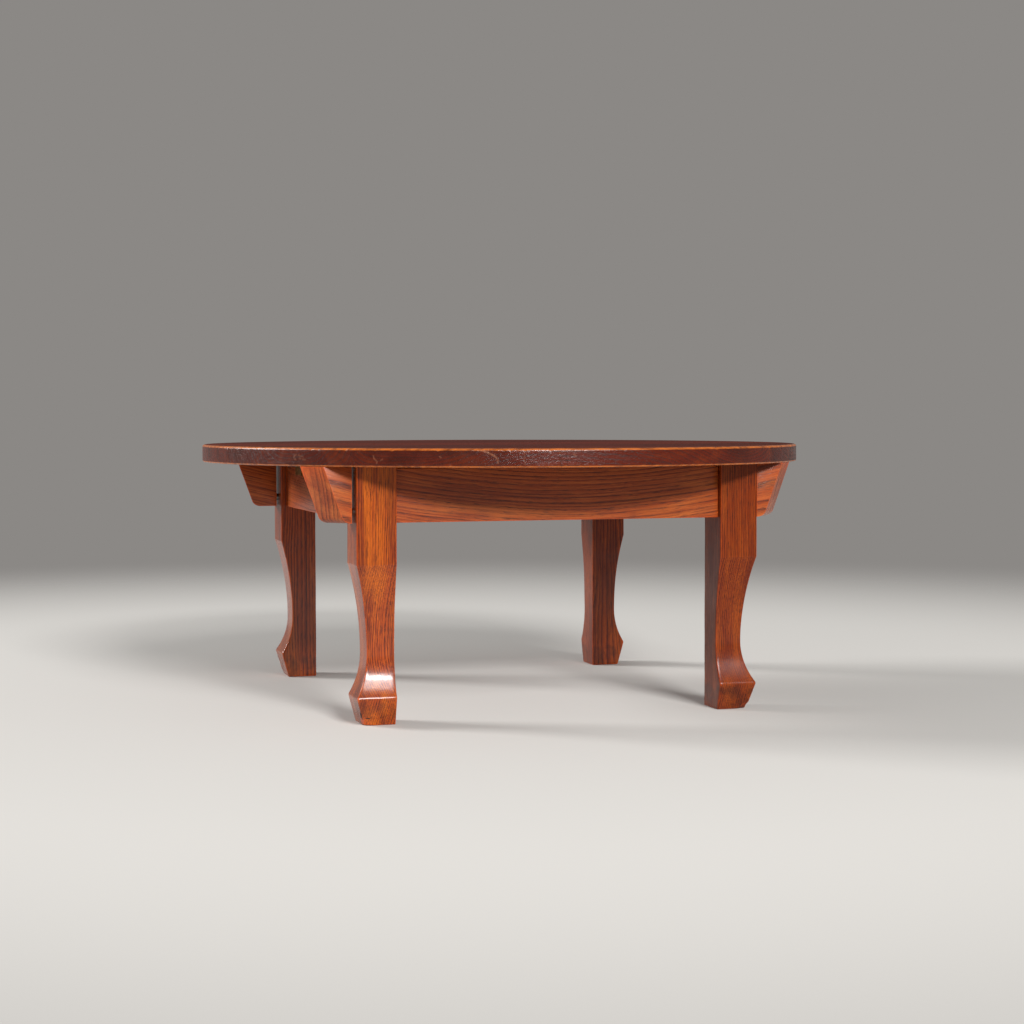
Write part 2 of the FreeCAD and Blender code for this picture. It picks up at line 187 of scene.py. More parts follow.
def arrisWear(tree, own, look, noises):
    # An arris is near where a rounded normal leaves the true one, or where the rim is round. Steep is 1 where
    # a face looks straight up or down.
    rounded = addNode(tree, "ShaderNodeBevel", {"Radius": look["arrisRadius"] * mm}, samples=4)
    true = addNode(tree, "ShaderNodeNewGeometry").outputs["True Normal"]
    alike = addNode(tree, "ShaderNodeVectorMath", {0: rounded, 1: true}, operation="DOT_PRODUCT")
    edge = addNode(tree, "ShaderNodeMapRange", {
        "Value": alike.outputs["Value"], "From Min": 0.998, "From Max": 0.96}, **smoothly)
    upward = addNode(tree, "ShaderNodeSeparateXYZ", {0: own.outputs["Normal"]}).outputs["Z"]
    steep = addNode(tree, "ShaderNodeMath", {0: upward}, operation="ABSOLUTE")
    onRound = addNode(tree, "ShaderNodeMapRange", {
        "Value": steep, "From Min": 0.12, "From Max": 0.4}, **smoothly)
    offRound = addNode(tree, "ShaderNodeMapRange", {
        "Value": steep, "From Min": 0.93, "From Max": 0.998, "To Min": look["roundArris"], "To Max": 0.0})
    onArris = addNode(tree, "ShaderNodeMath", {0: onRound, 1: offRound}, operation="MULTIPLY")
    edge = addNode(tree, "ShaderNodeMath", {0: edge, 1: onArris}, operation="MAXIMUM")
    patchy = addNode(tree, "ShaderNodeMapRange", {
        "Value": noises["patch"], "From Min": 0.32, "From Max": 0.58, "To Min": 0.25 * look["wornShare"],
        "To Max": look["wornShare"]})
    wear = addNode(tree, "ShaderNodeMath", {0: edge, 1: patchy}, operation="MULTIPLY")
    return wear, steep


def woodMaterial(name, turn, pith, seed, changes):
    # turn takes the piece's own axes to the tree's, whose Z runs along the grain.
    # pith is where the tree's middle lies, seen from the origin, in the tree's own axes.
    look = {**woodLook, **changes}
    material, tree, shader, _ = newMaterial(name)
    own = addNode(tree, "ShaderNodeTexCoord")
    along, noises = grainNoises(tree, own, look, turn, pith, seed)
    ring, colour = yearRings(tree, look, along, noises)

    # Layers over the rings, as a mask and a tone each. First broad zones of golden and of deep red wood.
    layers = []
    for kind, low, high, share, tone in (("zone", 0.45, 0.7, "goldShare", "gold"),
                                         ("drift", 0.48, 0.68, "deepShare", "deep"),
                                         ("fibre", 0.52, 0.3, "fibreShare", "deep"),
                                         ("fibre", 0.52, 0.74, "fibreShare", "gold")):
        mask = addNode(tree, "ShaderNodeMapRange", {
            "Value": noises[kind], "From Min": low, "From Max": high, "To Max": look[share]},
            **smoothly)
        layers.append((mask, tone))

    # Pores: short dark dashes, thickest where a year begins.
    porous = addNode(tree, "ShaderNodeMapRange", {
        "Value": ring, "From Min": 0.05, "From Max": 0.5, "To Min": look["poreCrowding"], "To Max": 0.0})
    poreSum = addNode(tree, "ShaderNodeMath", {0: porous, 1: noises["pore"]}, operation="ADD")
    poreMask = addNode(tree, "ShaderNodeMapRange", {
        "Value": poreSum, "From Min": 0.6, "From Max": 0.72}, **smoothly)
    dark = addNode(tree, "ShaderNodeMath", {0: poreMask, 1: look["poreShare"]}, operation="MULTIPLY")
    layers.append((dark, "pores"))

    wear, steep = arrisWear(tree, own, look, noises)
    layers.append((wear, "worn"))

    # Scratches down to the bare wood, and cracks with dirt in them, where the mesh has such marks.
    mark = addNode(tree, "ShaderNodeAttribute", attribute_name="mark").outputs["Fac"]
    for sign, tone in ((1.0, "scratch"), (-1.0, "grimeAndShade")):
        mask = addNode(tree, "ShaderNodeMath", {0: mark, 1: sign}, operation="MULTIPLY", use_clamp=True)
        layers.append((mask, tone))

    # Old dirt in blotches, and on the feet a darkening towards the floor: partly dirt, partly painted shade.
    height = addNode(tree, "ShaderNodeSeparateXYZ", {0: own.outputs["Object"]}).outputs["Z"]
    low = addNode(tree, "ShaderNodeMapRange", {
        "Value": height, "From Min": look["footDarkeningTop"] * mm, "From Max": look["footDarkeningFull"] * mm,
        "To Max": look["footDirtAndShade"]})
    dirtAndShadeSum = addNode(tree, "ShaderNodeMath", {0: low, 1: noises["smudge"]}, operation="ADD")
    dirtAndShade = addNode(tree, "ShaderNodeMapRange", {
        "Value": dirtAndShadeSum, "From Min": 0.6, "From Max": 0.8, "To Max": look["dirtAndShadeShare"]},
        **smoothly)
    layers.append((dirtAndShade, "grimeAndShade"))
    for mask, tone in layers:
        colour = addNode(tree, "ShaderNodeMix", {
            0: mask, 6: colour, 7: hexColour(look[tone])}, data_type="RGBA").outputs[2]

    # The gloss is rubbed dull in patches, in the open pores, and on a face that is wiped and set on.
    rough = addNode(tree, "ShaderNodeMath", {
        0: noises["rubbed"], 1: look["rubbedSpread"],
        2: look["roughness"] - look["rubbedSpread"] / 2}, operation="MULTIPLY_ADD")
    rough = addNode(tree, "ShaderNodeMath", {
        0: poreMask, 1: look["poreRoughness"], 2: rough}, operation="MULTIPLY_ADD")
    flat = addNode(tree, "ShaderNodeMapRange", {
        "Value": steep, "From Min": 0.97, "From Max": 1.0, "To Max": look["faceRoughness"]})
    rough = addNode(tree, "ShaderNodeMath", {0: rough, 1: flat}, operation="ADD", use_clamp=True)
    gloss = look["specular"]
    if look["faceSpecular"]:
        gloss = addNode(tree, "ShaderNodeMapRange", {
            "Value": steep, "From Min": 0.97, "From Max": 1.0, "To Min": look["specular"],
            "To Max": look["faceSpecular"]})

    # Brush marks, open pores and small dents: shallow, so that they only break up the gloss.
    relief = addNode(tree, "ShaderNodeMath", {
        0: noises["fibre"], 1: look["fibreBump"], 2: noises["brushed"]}, operation="MULTIPLY_ADD")
    relief = addNode(tree, "ShaderNodeMath", {
        0: poreMask, 1: look["poreBump"], 2: relief}, operation="MULTIPLY_ADD")
    if look["mottle"]:
        # Small dents all over a rim, and hardly any on its faces.
        depth = addNode(tree, "ShaderNodeMapRange", {
            "Value": steep, "From Min": 0.85, "From Max": 0.99, "To Min": look["mottle"],
            "To Max": look["faceMottle"]})
        relief = addNode(tree, "ShaderNodeMath", {
            0: noises["mottle"], 1: depth, 2: relief}, operation="MULTIPLY_ADD")
    bump = addNode(tree, "ShaderNodeBump", {
        "Height": relief, "Strength": 0.5, "Distance": look["bumpDepth"] * mm})
    setInputs(tree, shader, {
        "Base Color": colour, "Roughness": rough, "Specular IOR Level": gloss, "Normal": bump,
        "Coat Weight": look["coat"], "Coat Roughness": look["coatRoughness"], "Coat Normal": bump})
    return material


def sawnWood(name, look, i, changes):
    # Wood for the piece that is number i of its kind, each from another place in the tree.
    pith = [start + i * step for start, step in zip(look["pith"], look["pithStep"])]
    return woodMaterial(name, look["turn"], pith, look["seed"] + i * look["seedStep"], changes)


# Rolled brass gone brown with age, and a turned steel pin with a film of old oil.
metals = {
    "agedBrass": {"colour": "#a0783c", "tarnish": "#4e3519", "roughness": 0.34, "grain": 0.4},
    "turnedSteel": {"colour": "#8c8984", "tarnish": "#4c4641", "roughness": 0.3, "grain": 0.3},
}
metalWear = {"patchSize": 6, "tarnishRoughness": 0.25, "grainDepth": 0.02}


def metalMaterial(name):
    # A turned or rolled metal, dulled by age in patches.
    look = metals[name]
    material, tree, shader, _ = newMaterial(name)
    place = addNode(tree, "ShaderNodeTexCoord").outputs["Object"]
    patches = addNode(tree, "ShaderNodeTexNoise", {
        "Vector": place, "Scale": 1 / (metalWear["patchSize"] * mm), "Detail": 5.0, "Roughness": 0.65})
    fine = addNode(tree, "ShaderNodeTexNoise", {
        "Vector": place, "Scale": 1 / (look["grain"] * mm), "Detail": 2.0})
    spread = addNode(tree, "ShaderNodeMapRange", {"Value": patches, "From Min": 0.38, "From Max": 0.66})
    colours = addNode(tree, "ShaderNodeMix", {
        0: spread, 6: hexColour(look["colour"]), 7: hexColour(look["tarnish"])}, data_type="RGBA")
    rough = addNode(tree, "ShaderNodeMapRange", {
        "Value": patches, "From Min": 0.3, "From Max": 0.7,
        "To Min": look["roughness"], "To Max": look["roughness"] + metalWear["tarnishRoughness"]})
    bump = addNode(tree, "ShaderNodeBump", {
        "Height": fine, "Strength": 0.3, "Distance": metalWear["grainDepth"] * mm})
    setInputs(tree, shader, {
        "Base Color": colours.outputs[2], "Roughness": rough, "Normal": bump, "Metallic": 1.0})
    return material


agedBrass, turnedSteel = (metalMaterial(name) for name in metals)

dirtAndShadeLook = {"grain": 0.6, "dark": "#0c0503", "pale": "#2c150b", "roughness": 0.85}


def dirtAndShadeMaterial():
    # Old dust and wax packed into cracks and joints: dull, and nearly black. In the cracks of the feet the
    # black is partly painted shade.
    material, tree, shader, _ = newMaterial("packedDirtAndShade")
    place = addNode(tree, "ShaderNodeTexCoord").outputs["Object"]
    grains = addNode(tree, "ShaderNodeTexNoise", {
        "Vector": place, "Scale": 1 / (dirtAndShadeLook["grain"] * mm), "Detail": 4.0})
    colours = addNode(tree, "ShaderNodeMix", {
        0: grains, 6: hexColour(dirtAndShadeLook["dark"]), 7: hexColour(dirtAndShadeLook["pale"])}, data_type="RGBA")
    setInputs(tree, shader, {"Base Color": colours.outputs[2], "Roughness": dirtAndShadeLook["roughness"]})
    return material


packedDirtAndShade = dirtAndShadeMaterial()


def meshOf(name, made):
    # A mesh made of a bmesh.
    mesh = bpy.data.meshes.new(name)
    made.to_mesh(mesh)
    made.free()
    return mesh


def addObject(name, data):
    # Adds a mesh, a lamp or a camera to the scene.
    thing = bpy.data.objects.new(name, data)
    bpy.context.scene.collection.objects.link(thing)
    return thing


def smoothMesh(mesh, sharpAngle=40):
    mesh.shade_smooth()
    mesh.set_sharp_from_angle(angle=math.radians(sharpAngle))


def joinRings(made, rings):
    # Faces from each ring of vertices to the next, and one over each end.
    count = len(rings[0])
    for lower, upper in zip(rings, rings[1:]):
        for i in range(count):
            j = (i + 1) % count
            made.faces.new((lower[i], lower[j], upper[j], upper[i]))
    made.faces.new(rings[0][::-1])
    made.faces.new(rings[-1])


def finishMesh(name, made, material, body, node):
    # Makes an object of a bmesh, smooth but for its sharp corners, and hands it to the frame.
    mesh = meshOf(name, made)
    smoothMesh(mesh)
    piece = addObject(name, mesh)
    mesh.materials.append(material)
    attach(piece, body)
    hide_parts(node)
    return piece


# Legs: square above the knee, hollowed below it on the two outer faces, and splayed out to the foot.
legSize = {
    "knee": 185, "waist": 81, "ankle": 32, "waistRecess": 14.4, "footTaper": 9,
    "kneeRound": 0.2, "ankleRound": 1.5, "footRound": 1.0,
    "arrisRound": 1.3, "arrisSwing": 0.35, "arrisWave": 34,
    "wobble": 0.22, "wobbleWave": 31, "fineShare": 0.2, "fineWave": 7,
    "chipGrain": 2.1, "chipRise": 6,
    "levelStep": 4, "cornerSteps": 4, "sideSteps": 12,
}


def hollow(z):
    # How far a leg's outer faces stand back at a height. Below the knee two arcs meet at the waist.
    knee, waist, ankle, recess = (legSize[key] for key in ("knee", "waist", "ankle", "waistRecess"))
    if z >= knee:
        return 0.0
    if z < ankle:
        return legSize["footTaper"] * (1 - z / ankle)
    rise = (knee if z > waist else ankle) - waist
    bend = rise * rise / (2 * recess) + recess / 2
    return recess - bend + math.sqrt(bend * bend - (z - waist) ** 2)


def softHollow(z):
    # The same with its creases a little rounded by sanding and wear.
    reach = legSize["ankleRound"] if z < legSize["waist"] else legSize["kneeRound"]
    return sum(hollow(max(z + reach * share, 0)) for share in (-1, -0.5, 0, 0.5, 1)) / 5


def legHeights(top):
    # The heights of a leg's levels, closer together at its foot and its creases.
    s = legSize
    heights = {0.0, top}
    heights.update(s["footRound"] * share for share in (0.15, 0.4, 0.7, 1.0))
    steps = round(top / s["levelStep"])
    heights.update(top * i / steps for i in range(1, steps))
    for crease, reach in ((s["ankle"], s["ankleRound"]), (s["knee"], s["kneeRound"])):
        heights.update(crease + reach * share for share in (-2.5, -1.5, -1, -0.5, 0, 0.5, 1, 1.5, 2.5))
    return sorted(heights)


def onCorner(corner, turn):
    # The point of a rounded corner at an angle in degrees from where it starts.
    centre, r, start = corner
    angle = math.radians(start + turn)
    return centre + r * Vector((math.cos(angle), math.sin(angle)))


def cornerRing(lowX, highX, lowY, highY, rounding):
    # One level of a leg: a rectangle with rounded corners, and points along its sides.
    middleX, middleY = (lowX + highX) / 2, (lowY + highY) / 2
    corners = []
    for r, (x, y, start) in zip(rounding, ((highX, highY, 0), (lowX, highY, 90),
                                           (lowX, lowY, 180), (highX, lowY, 270))):
        centre = Vector((x - math.copysign(r, x - middleX), y - math.copysign(r, y - middleY)))
        corners.append((centre, r, start))
    cornerSteps, sideSteps = legSize["cornerSteps"], legSize["sideSteps"]
    ring = []
    for i, corner in enumerate(corners):
        ring += [onCorner(corner, 90 * step / cornerSteps) for step in range(cornerSteps + 1)]
        begin, end = ring[-1], onCorner(corners[(i + 1) % 4], 0)
        ring += [begin.lerp(end, step / sideSteps) for step in range(1, sideSteps)]
    return ring


def wornSpot(spot, seed, chips, core):
    # Where a spot on a leg lies once its faces are a little uneven and chips are out of the foot.
    s = legSize
    wobble = noise.noise_vector(spot / s["wobbleWave"] + Vector((seed, seed * 0.3, 0))) * s["wobble"]
    fine = noise.noise_vector(spot / s["fineWave"] + Vector((0, seed, seed * 0.6)))
    shift = wobble + fine * s["wobble"] * s["fineShare"]
    moved = spot + Vector((shift.x, shift.y, 0))
    for centre, reach, depth in chips:
        away = (spot - Vector(centre)).length / reach
        if away < 1:
            jag = 1 + 0.5 * noise.noise(spot / s["chipGrain"])
            moved += (core - spot).normalized() * depth * jag * (1 - away * away) ** 1.5
    return moved


def legMesh(box, sideX, sideY, seed, chips):
    # Drawn for the front right leg, whose outer faces look to +X and -Y, then mirrored into its corner.
    s = legSize
    innerX, outerX = sorted(abs(end.x) / mm for end in box)
    innerY, outerY = sorted(abs(end.y) / mm for end in box)
    top = box[1].z / mm
    pivot = next(j["pos_m"] for j in frame["joints"] if j["name"] == "front_frame_fold")
    pivotY, pivotZ = abs(pivot[1]) / mm, pivot[2] / mm
    swing = top - pivotZ
    made = bmesh.new()
    rings = []
    for z in legHeights(top):
        inset = softHollow(z)
        drop = max(s["footRound"] - z, 0.0)
        shrink = s["footRound"] - math.sqrt(s["footRound"] ** 2 - drop ** 2)
        # The top of the back is rounded about the pivot, so that the leg clears the table top as it folds.
        backY = innerY
        across = swing ** 2 - (z - pivotZ) ** 2
        if z > pivotZ and across < (pivotY - innerY) ** 2:
            backY = pivotY - math.sqrt(max(across, 0.0))
        rounding = []
        for i in range(4):
            wave = noise.noise(Vector((seed + i * 9.1, z / s["arrisWave"], 0.5)))
            rounding.append(s["arrisRound"] * (1 + s["arrisSwing"] * wave))
        core = Vector(((innerX + outerX) / 2, -(innerY + outerY) / 2, z + s["chipRise"]))
        level = []
        for point in cornerRing(innerX + shrink, outerX - inset - shrink,
                                -outerY + inset + shrink, -backY - shrink, rounding):
            moved = wornSpot(Vector((point.x, point.y, z)), seed, chips, core)
            moved.x = max(min(moved.x, outerX), innerX)
            moved.y = max(min(moved.y, -innerY), -outerY)
            moved.z = max(moved.z, 0.0)
            level.append(made.verts.new((moved.x * mm * sideX, moved.y * mm * sideY, moved.z * mm)))
        rings.append(level)
    joinRings(made, rings)
    bmesh.ops.triangulate(made, faces=[f for f in made.faces if len(f.verts) > 4])
    bmesh.ops.recalc_face_normals(made, faces=made.faces)
    return made


def cutOut(piece, cutter):
    # Cuts one closed shape out of a piece. The cut faces take on the cutter's material.
    cut = piece.modifiers.new("cut", "BOOLEAN")
    cut.object, cut.operation, cut.solver, cut.material_mode = cutter, "DIFFERENCE", "EXACT", "TRANSFER"
    evaluated = piece.evaluated_get(bpy.context.evaluated_depsgraph_get())
    mesh = bpy.data.meshes.new_from_object(evaluated)
    piece.modifiers.clear()
    old, piece.data = piece.data, mesh
    bpy.data.meshes.remove(old)
    bpy.data.objects.remove(cutter)


def cutterBox(low, high):
    made = bmesh.new()
    bmesh.ops.create_cube(made, size=1.0, matrix=Matrix.Translation((low + high) / 2)
                          @ Matrix.Diagonal((*(high - low), 1.0)))
    return addObject("cutter", meshOf("cutter", made))


def cutterRod(start, end, radius, material=None):
    made = bmesh.new()
    turn = Vector((0, 0, 1)).rotation_difference(end - start).to_matrix().to_4x4()
    bmesh.ops.create_cone(made, cap_ends=True, segments=jointFit["rodSides"], radius1=radius, radius2=radius,
                          depth=(end - start).length, matrix=Matrix.Translation((start + end) / 2) @ turn)
    mesh = meshOf("cutter", made)
    if material:
        mesh.materials.append(material)
    return addObject("cutter", mesh)


jointFit = {
    "tenonThickness": 12, "tenonHeight": 28, "tenonLength": 30, "tenonDrop": 9,
    "mortiseGap": 0.2, "mortiseOverlap": 5, "pinGap": 0.08, "pinEndGap": 0.5, "rodSides": 48,
}

# Each leg: where its tree's middle lies from its own, chips out of its foot as centre, reach and depth, as if
# it stood at the front right, cracks in its foot as their two ends and a radius, and how its wood differs.
legs = {
    "front_right": {
        "pith": (-150, -96),
        "chips": [((237, -250, 0), 8, 2.6), ((229, -251, 0), 4.5, 1.0)],
        "cracks": [],
        # This leg's darker colours are partly its own tone and partly painted shade, as less light falls on
        # it.
        "wood": {"footDirtAndShade": 0.22, "dirtAndShadeShare": 0.5, "coat": 0.5, "early": "#561802", "middle": "#7a2b02",
                 "late": "#903a05", "gold": "#a84c06", "worn": "#c64806"},
    },
    "front_left": {
        "pith": (-120, -116),
        "chips": [((238, -250.5, 1), 9, 3.2), ((240, -240, 14), 5, 0.8), ((226, -251, 5), 6, 0.5)],
        "cracks": [((-243.4, -253.4, 15), (-239.0, -249.0, 1), 2.6),
                   ((-236.5, -253.2, 9.2), (-230, -253.1, 8.0), 0.9),
                   ((-216, -252.0, 4.2), (-207, -252.4, 5.4), 0.6)],
        "wood": {"footDirtAndShade": 0.21, "dirtAndShadeShare": 0.42},
    },
    "rear_right": {
        "pith": (-70, 128),
        "chips": [((238, -250, 0), 6, 1.6)],
        "cracks": [],
        "wood": {"footDirtAndShade": 0.17, "dirtAndShadeShare": 0.42, "coat": 0.6, "middle": "#863003", "gold": "#b05408"},
    },
    "rear_left": {
        "pith": (88, 146),
        "chips": [((237, -249, 0), 6, 1.4)],
        "cracks": [((-222, 206.5, 0), (-220, 207.6, 9), 0.8)],
        "wood": {"footDirtAndShade": 0.17, "dirtAndShadeShare": 0.42, "middle": "#8c3303", "gold": "#b85a0a"},
    },
}
legSeeds = {"wood": 3.7, "woodStep": 5.3, "shape": 2.0, "shapeStep": 7.7}


def cutPinHole(piece, corner, sideX):
    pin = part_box(corner + "_pivot_pin")
    middle = (pin[0] + pin[1]) / 2
    inner, outer = sorted((pin[0].x, pin[1].x), key=abs)
    inner -= sideX * jointFit["pinEndGap"] * mm
    start, end = (Vector((x, middle.y, middle.z)) for x in (inner, outer))
    cutOut(piece, cutterRod(start, end, (pin[1].z - pin[0].z) / 2 + jointFit["pinGap"] * mm))


def cutMortise(piece, corner, sideX):
    leg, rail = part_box(corner + "_leg"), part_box(corner.split("_")[0] + "_rail")
    railMiddle = (rail[0].y + rail[1].y) / 2
    gap = jointFit["mortiseGap"] * mm
    halfTenon = jointFit["tenonThickness"] * mm / 2 + gap
    tenonTop = rail[1].z - jointFit["tenonDrop"] * mm + gap
    innerFace = min(abs(leg[0].x), abs(leg[1].x))
    deep = innerFace + jointFit["tenonLength"] * mm + gap
    shallow = innerFace - jointFit["mortiseOverlap"] * mm
    xs = sorted((sideX * shallow, sideX * deep))
    low = Vector((xs[0], railMiddle - halfTenon, tenonTop - jointFit["tenonHeight"] * mm - gap * 2))
    cutOut(piece, cutterBox(low, Vector((xs[1], railMiddle + halfTenon, tenonTop))))


def makeLegs():
    for i, (corner, leg) in enumerate(legs.items()):
        sideX = 1 if "right" in corner else -1
        sideY = 1 if "front" in corner else -1
        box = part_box(corner + "_leg")
        pithX, pithY = leg["pith"]
        middle = (box[0] + box[1]) / 2 / mm
        # The grain runs up the leg, so its own axes are the tree's.
        material = woodMaterial(corner + "LegZelkova", (0, 0, 0), (middle.x + pithX, middle.y + pithY, 0),
                                legSeeds["wood"] + i * legSeeds["woodStep"], leg["wood"])
        made = legMesh(box, sideX, sideY, legSeeds["shape"] + i * legSeeds["shapeStep"], leg["chips"])
        piece = finishMesh(corner + "_leg_turned", made, material, corner.split("_")[0] + "_frame",
                           corner + "_leg")
        cutPinHole(piece, corner, sideX)
        cutMortise(piece, corner, sideX)
        # Cracks in the foot, lined with near-black that is partly dirt and partly painted shade.
        for first, last, width in leg["cracks"]:
            cutOut(piece, cutterRod(Vector(first) * mm, Vector(last) * mm, width * mm, packedDirtAndShade))
        smoothMesh(piece.data)
        print("leg", corner, len(piece.data.polygons), "faces")


makeLegs()

easing = {"arrisRound": 0.9, "segments": 3, "weld": 0.002, "flatAngle": 0.5, "sharpAngle": 28}


def easedCopy(node, material, body):
    # A copy of a node with its triangles merged to whole faces and its arrises rounded.
    made = bmesh.new()
    made.from_mesh(frame["nodes"][node].data)
    bmesh.ops.remove_doubles(made, verts=made.verts, dist=easing["weld"] * mm)
    bmesh.ops.dissolve_limit(made, angle_limit=math.radians(easing["flatAngle"]), verts=made.verts,
                             edges=made.edges)
    limit = math.radians(easing["sharpAngle"])
    sharp = [e for e in made.edges if len(e.link_faces) == 2 and e.calc_face_angle(0) > limit]
    bmesh.ops.bevel(made, geom=sharp, offset=easing["arrisRound"] * mm, offset_type="OFFSET",
                    segments=easing["segments"], profile=0.5, affect="EDGES", clamp_overlap=True,
                    harden_normals=False)
    return finishMesh(node + "_eased", made, material, body, node)


# Rails, ears and side boards: a paler wood.
railWood = {"ringWidth": 4.4, "ringSwing": 2.4, "fibreShare": 0.6, "goldShare": 0.45, "grainBend": 10,
            "poreShare": 0.75, "bow": 0.4, "specular": 0.25, "coat": 0.4, "coatRoughness": 0.24,
            "early": "#77290a", "middle": "#a14516", "late": "#b85824", "pores": "#2a0c04", "gold": "#cc7030",
            "deep": "#6e240a"}
railLook = {"turn": (0, -90.5, 0.8), "pith": (-398, -196, 0), "pithStep": (-7, 404, 0),
            "seed": 41.0, "seedStep": 6.1}
earLook = {"turn": (0, -91, 1), "pith": (-300, 120, 0), "pithStep": (-13, 31, 40),
           "seed": 61.0, "seedStep": 4.9}


def makeRailsAndEars():
    for i, end in enumerate(("front", "rear")):
        material = sawnWood(end + "RailZelkova", railLook, i, railWood)
        easedCopy(end + "_rail", material, end + "_frame")
    for i, corner in enumerate(legs):
        material = sawnWood(corner + "EarZelkova", earLook, i, railWood)
        easedCopy(corner + "_ear", material, "tabletop")
    print("rails and ears")


makeRailsAndEars()

sideBoardLook = {"turn": (90, 0, 1), "pith": (-260, -330, 0), "pithStep": (-40, 0, 0),
                 "seed": 83.0, "seedStep": 7.7, "ringWidth": 3.6}


def makeSideBoards():
    changes = {**railWood, "ringWidth": sideBoardLook["ringWidth"]}
    for i, side in enumerate(("left", "right")):
        material = sawnWood(side + "BoardZelkova", sideBoardLook, i, changes)
        easedCopy(side + "_side_board", material, side + "_side_frame")
    print("side boards")


makeSideBoards()

# Round top: five boards side by side, their grain along the rails, with a fine groove at each joint.
topSize = {
    "upperRound": 3.2, "lowerRound": 2.4, "jointGroove": 0.16, "seed": 101.0, "seedStep": 8.3,
    "flatInsets": (40, 16, 7), "roundSteps": 6, "wallSteps": 16, "rimSteps": 2400, "firstStep": 0.37,
}
topWood = {"ringWidth": 3.6, "ringSwing": 2.2, "ringShare": 0.4, "fibreShare": 0.3, "goldShare": 0.3,
           "grainBend": 30, "dirtAndShadeShare": 0.55, "roundArris": 1.0, "arrisRadius": 0.02, "mottle": 10.0,
           "roughness": 0.25, "faceRoughness": 0.4, "coat": 0.0, "specular": 0.42, "faceSpecular": 0.14,
           "pores": "#1c0602", "early": "#3a0d02", "middle": "#561603", "late": "#641d04", "gold": "#803006",
           "deep": "#340b02", "worn": "#d8742a"}

# Each board: where its tree's middle lies, down and across from its own, by how many degrees it was sawn out
# of line with the grain, up and sideways, and how its wood differs.
topBoards = {
    "front_edge": (-346, 12, 1.4, 0.5, {}),
    "front": (-362, -18, -1.8, -0.6, {"middle": "#4b1203", "ringWidth": 4.4}),
    "middle": (-340, 30, 2.2, 0.4, {"middle": "#611a05", "late": "#702408"}),
    "rear": (-370, -8, -1.2, 0.7, {"middle": "#501403", "ringWidth": 3.0}),
    "rear_edge": (-352, 20, 1.9, -0.5, {"middle": "#5e1804"}),
}

# Wear of the rim: gentle waves and a fine roughness everywhere, and dents that keep to the arrises.
rimLook = {
    "wornBand": 3.4, "wave": 0.22, "waveLength": 26, "fineDepth": 0.05, "fineLength": 1.7,
    "arrisReach": 4.5, "dentDepth": 1.98, "dentLength": 5.5, "dentLimit": 0.28,
    "patchLimit": 0.12, "patchLength": 60,
    "markDepth": 0.3, "markMargin": 0.6, "markReach": 1.6, "markFade": 0.7, "markGrain": 1.5,
}


def rimProfile(radius, under, top):
    # The rim's section from the top face round to the underside, as distance from the middle and height.
    s = topSize
    turns = [math.pi / 2 * step / s["roundSteps"] for step in range(s["roundSteps"] + 1)]
    points = [(radius - inset, top) for inset in s["flatInsets"]]
    r = s["upperRound"]
    points += [(radius - r * (1 - math.sin(a)), top - r * (1 - math.cos(a))) for a in turns]
    wallTop, wallLow = top - s["upperRound"], under + s["lowerRound"]
    steps = s["wallSteps"]
    points += [(radius, wallTop + (wallLow - wallTop) * step / steps) for step in range(1, steps)]
    r = s["lowerRound"]
    points += [(radius - r * (1 - math.cos(a)), under + r * (1 - math.sin(a))) for a in turns]
    return points + [(radius - inset, under) for inset in reversed(s["flatInsets"])]


def rimWear(angle, z, radius, under, top):
    # How far the rim has been worn in at a spot, in millimetres.
    s = rimLook
    around = Vector((math.cos(angle), math.sin(angle), 0)) * radius
    edge = max(0.0, 1 - min(top - z, z - under) / s["arrisReach"])
    wave = s["wave"] * (0.5 + 0.5 * noise.noise((around + Vector((0, 0, z))) / s["waveLength"]))
    nick = noise.noise(around / s["dentLength"] + Vector((0, 0, 5 if z > (top + under) / 2 else 11)))
    size = noise.noise(around / s["patchLength"] + Vector((3.3, 0, 0)))
    dent = max(0.0, nick - s["dentLimit"] - s["patchLimit"] * size) * s["dentDepth"] * edge
    rough = noise.noise(Vector((angle * radius / s["fineLength"], z / s["fineLength"], 4.4)))
    return wave + dent + abs(s["fineDepth"] * rough)


# Marks on the rim: a tone, above 0 for bare wood and below 0 for dirt, a width in millimetres, and points as
# degrees round the top and millimetres above its underside.
rimMarks = [
    (0.37, 0.75, [(250.4, 19.2), (251.3, 17.7), (252.1, 15.1), (252.8, 12.2), (253.1, 9.7), (253.2, 5.8)]),
    (0.23, 0.55, [(231.6, 13.5), (231.7, 10.2), (232.3, 6.4), (232.2, 4.9)]),
    (0.13, 0.6, [(232.9, 7.5), (233.3, 9.3)]),
    (0.22, 0.7, [(215.6, 13.9), (214.9, 10.4), (215.5, 7.6)]),
    (0.17, 0.6, [(216.1, 12.6), (217.3, 11.0)]),
    (0.15, 0.7, [(216.3, 9.2), (217.8, 7.6)]),
    (0.12, 0.5, [(257.6, 17.0), (257.7, 3.0)]),
    (-0.7, 0.6, [(263.6, 16.5), (263.75, 9.0), (263.9, 1.5)]),
    (-0.55, 0.5, [(264.85, 18.0), (264.9, 3.0)]),
    (-0.6, 0.8, [(193.75, 15.0), (193.8, 4.0)]),
    (0.3, 0.6, [(243.4, 12.4), (243.6, 11.8)]),
    (0.2, 0.8, [(266.0, 15.0), (266.4, 13.0)]),
]


